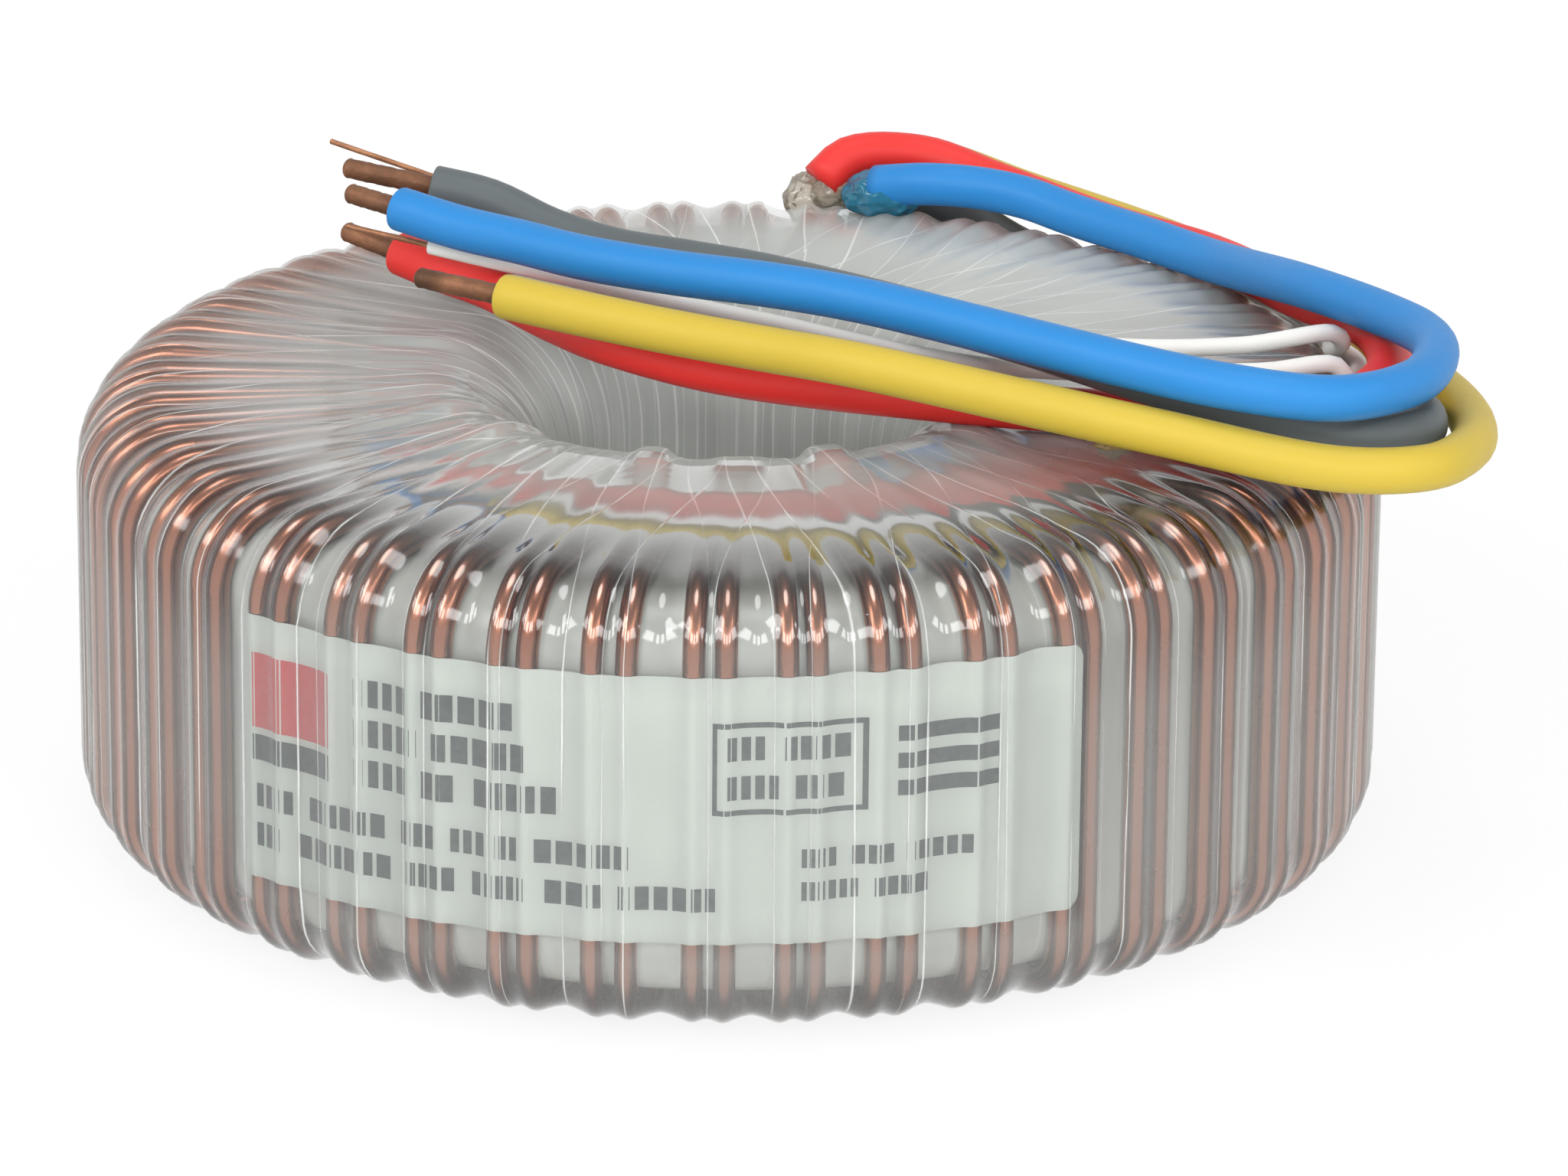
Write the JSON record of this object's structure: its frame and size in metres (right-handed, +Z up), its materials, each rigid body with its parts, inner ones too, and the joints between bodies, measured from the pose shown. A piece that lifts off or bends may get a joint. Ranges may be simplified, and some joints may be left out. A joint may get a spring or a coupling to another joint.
{
  "type": "toroidal transformer",
  "caption": "Low round transformer with a centre hole, copper windings bound in clear film, a paper label and coloured leads laid back over the top.",
  "frame": {"origin": "centre of the base, on the plane it stands on", "axes": "+Z up along the axis of the centre hole; -Y towards the side with the label; the leads leave the film at the +Y side and run round the +X side"},
  "size_m": [0.118, 0.1152, 0.0519],
  "materials": {
    "core": "plain strip, hidden",
    "core_wrap": "matt polyester tape, hidden",
    "primary_winding": "enamelled copper, hidden",
    "primary_barrier_film": "milky polyester film",
    "secondary_winding_1": "glossy enamelled copper",
    "secondary_winding_2": "glossy enamelled copper",
    "rating_label": "paper under film",
    "outer_film": "clear glossy polyester film",
    "exit_resin": "clear glue",
    "lead_red": "soft plastic sleeve",
    "lead_yellow": "soft plastic sleeve",
    "lead_blue": "soft plastic sleeve",
    "lead_grey": "soft plastic sleeve",
    "lead_white": "soft plastic sleeve",
    "wire_end": "copper with its enamel burnt and scraped"
  },
  "bodies": {
    "root": {"core": "core", "core_wrap": "core_wrap", "primary_winding": "primary_winding", "primary_barrier_film": "primary_barrier_film", "secondary_winding_1": "secondary_winding_1", "secondary_winding_2": "secondary_winding_2", "rating_label": "rating_label", "outer_film": "outer_film", "exit_resin": "exit_resin", "lead_red": "lead_red", "lead_yellow": "lead_yellow", "lead_blue": "lead_blue", "lead_grey": "lead_grey", "lead_white_1": "lead_white", "lead_white_2": "lead_white", "wire_end_red": "wire_end", "wire_end_yellow": "wire_end", "wire_end_blue": "wire_end", "wire_end_grey": "wire_end", "wire_end_white_1": "wire_end", "wire_end_white_2": "wire_end"}
  },
  "joints": []
}
